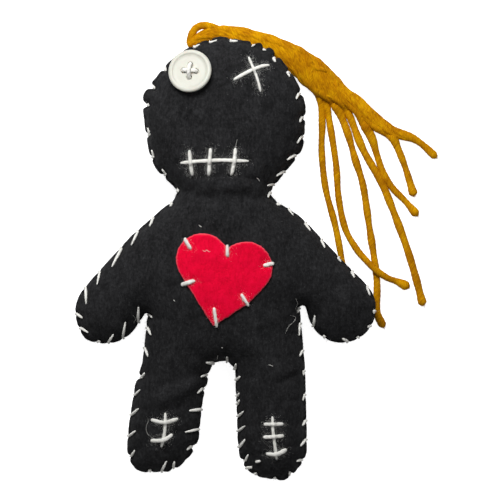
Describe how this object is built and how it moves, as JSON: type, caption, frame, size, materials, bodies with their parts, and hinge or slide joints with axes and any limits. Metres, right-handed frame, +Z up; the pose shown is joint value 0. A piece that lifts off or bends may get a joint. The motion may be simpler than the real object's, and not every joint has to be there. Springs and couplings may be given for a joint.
{
  "type": "voodoo doll",
  "caption": "Hand-sewn black felt voodoo doll with a heart patch, a button eye, thread stitches and yarn hair, lying on its back.",
  "frame": {"origin": "the middle of the flat of the doll's back that it rests on, under the chest", "axes": "+Z up out of the chest, -Z out of the back, +Y towards the top of the head, +X towards the hair side"},
  "size_m": [0.1687, 0.2113, 0.0373],
  "materials": {
    "body_felt": "matt black needle felt with short fibres and lint",
    "heart_felt": "matt red felt",
    "filling": "loose white polyester filling, unseen",
    "thread": "twisted off-white thread and yarn",
    "yarn": "plied mustard yarn with a slight fuzz",
    "button": "glossy off-white moulded plastic"
  },
  "bodies": {
    "root": {"front_panel": "body_felt", "back_panel": "body_felt", "filling": "filling", "heart_patch": "heart_felt", "seam_thread_head": "thread", "seam_thread_left_arm": "thread", "seam_thread_legs": "thread", "seam_thread_right_arm": "thread", "mouth_line": "thread", "mouth_bar_left": "thread", "mouth_bar_middle": "thread", "mouth_bar_right": "thread", "eye_stroke_long": "thread", "eye_stroke_short": "thread", "heart_stitch_top_left": "thread", "heart_stitch_cleft": "thread", "heart_stitch_right": "thread", "heart_stitch_left": "thread", "heart_stitch_lower_right": "thread", "heart_stitch_tip": "thread", "left_leg_spine": "thread", "left_leg_bar_upper": "thread", "left_leg_bar_lower": "thread", "right_leg_spine": "thread", "right_leg_bar_upper": "thread", "right_leg_bar_middle": "thread", "right_leg_bar_lower": "thread", "button_eye": "button", "button_thread_1": "thread", "button_thread_2": "thread", "hair_bundle": "yarn", "hair_loop": "yarn", "hair_strand_1": "yarn", "hair_strand_2": "yarn", "hair_strand_3": "yarn", "hair_strand_4": "yarn", "hair_strand_5": "yarn", "hair_strand_6": "yarn", "hair_strand_7": "yarn"}
  },
  "joints": []
}
